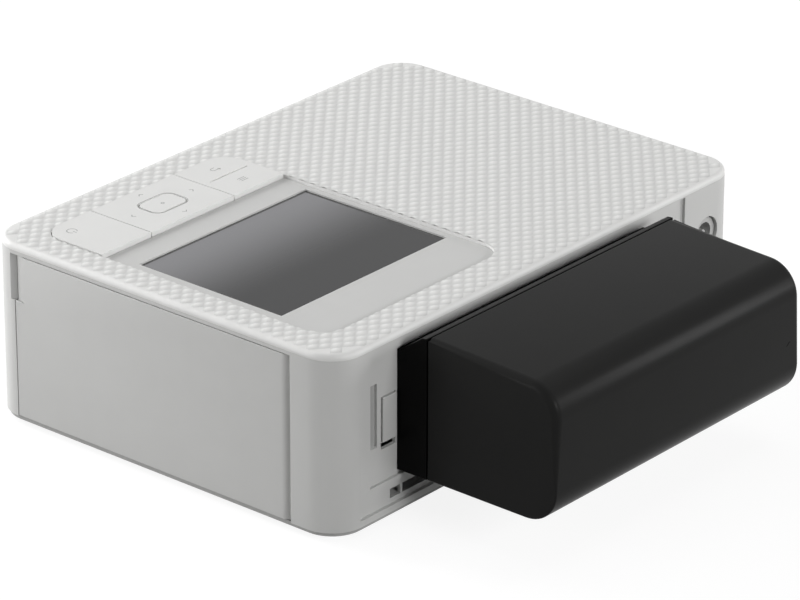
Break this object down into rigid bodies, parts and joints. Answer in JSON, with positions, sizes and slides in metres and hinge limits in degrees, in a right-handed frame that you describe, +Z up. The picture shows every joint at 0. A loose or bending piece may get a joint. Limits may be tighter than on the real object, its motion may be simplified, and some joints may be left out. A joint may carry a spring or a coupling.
{
  "type": "compact photo printer",
  "caption": "Compact photo printer with a studded top cover, key strip and sunk screen, a hinged ink door and paper door, and a clip-on battery behind.",
  "frame": {"origin": "on the table, under the middle of the whole outline with the battery", "axes": "+X towards the ink cassette door, -Y towards the paper door at the front, +Y towards the battery, +Z up"},
  "size_m": [0.1822, 0.1888, 0.0576],
  "materials": {
    "casing": "fine matte grain",
    "cover": "studded matte",
    "keys": "smooth satin",
    "bezel": "smooth satin",
    "base": "fine matte grain",
    "screen_glass": "clear gloss",
    "dark_parts": "moulded",
    "battery_black": "fine satin grain",
    "adapter_black": "smooth satin",
    "rubber": "matte",
    "steel": "ground",
    "sheet_steel": "zinc plated",
    "alloy": "extruded",
    "brass": "sintered",
    "gear_plastic": "smooth",
    "cassette_plastic": "moulded",
    "ribbon": "thin film",
    "board": "solder mask",
    "ceramic": "glazed",
    "cell_wrap": "shrink wrap",
    "cable_film": "polyimide"
  },
  "bodies": {
    "body": {"housing": "casing", "base_plate": "base", "rubber_feet": "rubber", "case_screws": "steel", "top_cover": "cover", "screen_plate": "bezel", "screen_glass": "screen_glass", "screen_module": "dark_parts", "screen_cable": "cable_film", "key_frame": "dark_parts", "key_board": "board", "key_switches": "dark_parts", "ink_door_pin": "steel", "paper_door_pin": "steel", "drive_side_frame": "sheet_steel", "door_side_frame": "sheet_steel", "cross_plates": "sheet_steel", "shaft_bushings": "brass", "paper_guide": "dark_parts", "motor_plate": "sheet_steel", "plate_posts": "steel", "feed_motor": "steel", "drive_belt": "rubber", "head_shaft": "steel", "main_board": "board", "board_parts": "dark_parts", "card_socket": "sheet_steel", "usb_socket": "sheet_steel", "dc_inlet": "bezel", "battery_terminals": "dark_parts"},
    "ink_door": {"ink_door": "casing"},
    "paper_door": {"paper_door": "casing"},
    "power_key": {"power_key": "keys"},
    "ok_key": {"ok_key": "keys"},
    "pad_pivot": {"pad_pivot": "rubber"},
    "direction_pad": {"direction_pad": "keys"},
    "menu_rocker": {"menu_rocker": "keys"},
    "battery_release": {"battery_release": "casing"},
    "battery_adapter": {"battery_adapter": "adapter_black"},
    "battery_pack": {"battery_case": "battery_black", "battery_lid": "battery_black", "battery_cells": "cell_wrap"},
    "print_head": {"head_arm": "sheet_steel", "print_head": "ceramic", "heat_sink": "alloy"},
    "feed_roller": {"feed_roller": "steel", "feed_gear": "gear_plastic"},
    "pinch_roller": {"pinch_roller": "rubber"},
    "platen": {"platen_shaft": "steel", "platen_rubber": "rubber"},
    "pickup": {"pickup_shaft": "steel", "pickup_wheels": "rubber"},
    "motor_pinion": {"motor_pinion": "gear_plastic"},
    "ribbon_hub": {"ribbon_hub": "gear_plastic"},
    "ink_cassette": {"cassette_shell": "cassette_plastic", "ribbon_film": "ribbon"},
    "supply_spool": {"supply_spool": "gear_plastic", "ribbon_roll": "ribbon"},
    "takeup_spool": {"takeup_spool": "gear_plastic"}
  },
  "joints": [
    {"name": "ink_door_hinge", "type": "hinge", "parent": "body", "child": "ink_door", "pos_m": [0.0881, 0.0186, 0.028], "axis": [0, 0, 1], "range_deg": [0, 90]},
    {"name": "ink_cassette_slide", "type": "slide", "parent": "body", "child": "ink_cassette", "axis": [1, 0, 0], "range_m": [0, 0.042]},
    {"name": "paper_door_hinge", "type": "hinge", "parent": "body", "child": "paper_door", "pos_m": [0.008, -0.0914, 0.0075], "axis": [1, 0, 0], "range_deg": [0, 90]},
    {"name": "power_key_press", "type": "slide", "parent": "body", "child": "power_key", "axis": [0, 0, -1], "range_m": [0, 0.0006], "stiffness_N_per_m": 2500, "springref_m": -0.0001},
    {"name": "ok_key_press", "type": "slide", "parent": "body", "child": "ok_key", "axis": [0, 0, -1], "range_m": [0, 0.0006], "stiffness_N_per_m": 2500, "springref_m": -0.0001},
    {"name": "pad_tilt_front_back", "type": "hinge", "parent": "body", "child": "pad_pivot", "pos_m": [0.0425, -0.07043, 0.0554], "axis": [1, 0, 0], "range_deg": [-2, 2], "stiffness_Nm_per_rad": 0.3},
    {"name": "pad_tilt_side", "type": "hinge", "parent": "pad_pivot", "child": "direction_pad", "pos_m": [0.0425, -0.07043, 0.0554], "axis": [0, 1, 0], "range_deg": [-2, 2], "stiffness_Nm_per_rad": 0.3},
    {"name": "menu_rocker_tilt", "type": "hinge", "parent": "body", "child": "menu_rocker", "pos_m": [0.01395, -0.07043, 0.0556], "axis": [1, 0, 0], "range_deg": [-1.5, 1.5], "stiffness_Nm_per_rad": 0.3},
    {"name": "battery_release_slide", "type": "slide", "parent": "body", "child": "battery_release", "axis": [0, 0, -1], "range_m": [0, 0.002], "stiffness_N_per_m": 600, "springref_m": -0.0005},
    {"name": "battery_adapter_slide", "type": "slide", "parent": "body", "child": "battery_adapter", "axis": [0, 1, 0], "range_m": [0, 0.02]},
    {"name": "battery_pack_slide", "type": "slide", "parent": "battery_adapter", "child": "battery_pack", "axis": [0, 1, 0], "range_m": [0, 0.015]},
    {"name": "print_head_swing", "type": "hinge", "parent": "body", "child": "print_head", "pos_m": [0.008, 0.0161, 0.042], "axis": [1, 0, 0], "range_deg": [0, 5.5], "stiffness_Nm_per_rad": 1.2, "springref_deg": -5.73},
    {"name": "feed_roller_turn", "type": "hinge", "parent": "body", "child": "feed_roller", "pos_m": [0.008, 0.0181, 0.0142], "axis": [1, 0, 0], "continuous": true},
    {"name": "pinch_roller_turn", "type": "hinge", "parent": "body", "child": "pinch_roller", "pos_m": [0.008, 0.0181, 0.00725], "axis": [1, 0, 0], "continuous": true},
    {"name": "platen_turn", "type": "hinge", "parent": "body", "child": "platen", "pos_m": [0.008, -0.03085, 0.0096], "axis": [1, 0, 0], "continuous": true},
    {"name": "pickup_turn", "type": "hinge", "parent": "body", "child": "pickup", "pos_m": [0.008, -0.0819, 0.022], "axis": [1, 0, 0], "continuous": true},
    {"name": "motor_turn", "type": "hinge", "parent": "body", "child": "motor_pinion", "pos_m": [-0.066, 0.00732, 0.02374], "axis": [1, 0, 0], "continuous": true},
    {"name": "ribbon_hub_turn", "type": "hinge", "parent": "body", "child": "ribbon_hub", "pos_m": [-0.066, -0.00385, 0.03], "axis": [1, 0, 0], "continuous": true},
    {"name": "takeup_spool_turn", "type": "hinge", "parent": "ink_cassette", "child": "takeup_spool", "pos_m": [0.008, -0.00385, 0.03], "axis": [1, 0, 0], "continuous": true},
    {"name": "supply_spool_turn", "type": "hinge", "parent": "ink_cassette", "child": "supply_spool", "pos_m": [0.008, -0.05785, 0.03], "axis": [1, 0, 0], "continuous": true}
  ],
  "couplings": [
    {"joint": "ink_cassette_slide", "follows": "ink_door_hinge", "m_per_rad": 0.0265},
    {"joint": "pinch_roller_turn", "follows": "feed_roller_turn", "ratio": -1.4286},
    {"joint": "platen_turn", "follows": "feed_roller_turn", "ratio": -0.72727},
    {"joint": "pickup_turn", "follows": "feed_roller_turn", "ratio": 1},
    {"joint": "motor_turn", "follows": "feed_roller_turn", "ratio": -2},
    {"joint": "ribbon_hub_turn", "follows": "feed_roller_turn", "ratio": 1.2},
    {"joint": "takeup_spool_turn", "follows": "feed_roller_turn", "ratio": 1.2},
    {"joint": "supply_spool_turn", "follows": "feed_roller_turn", "ratio": 0.54546}
  ]
}
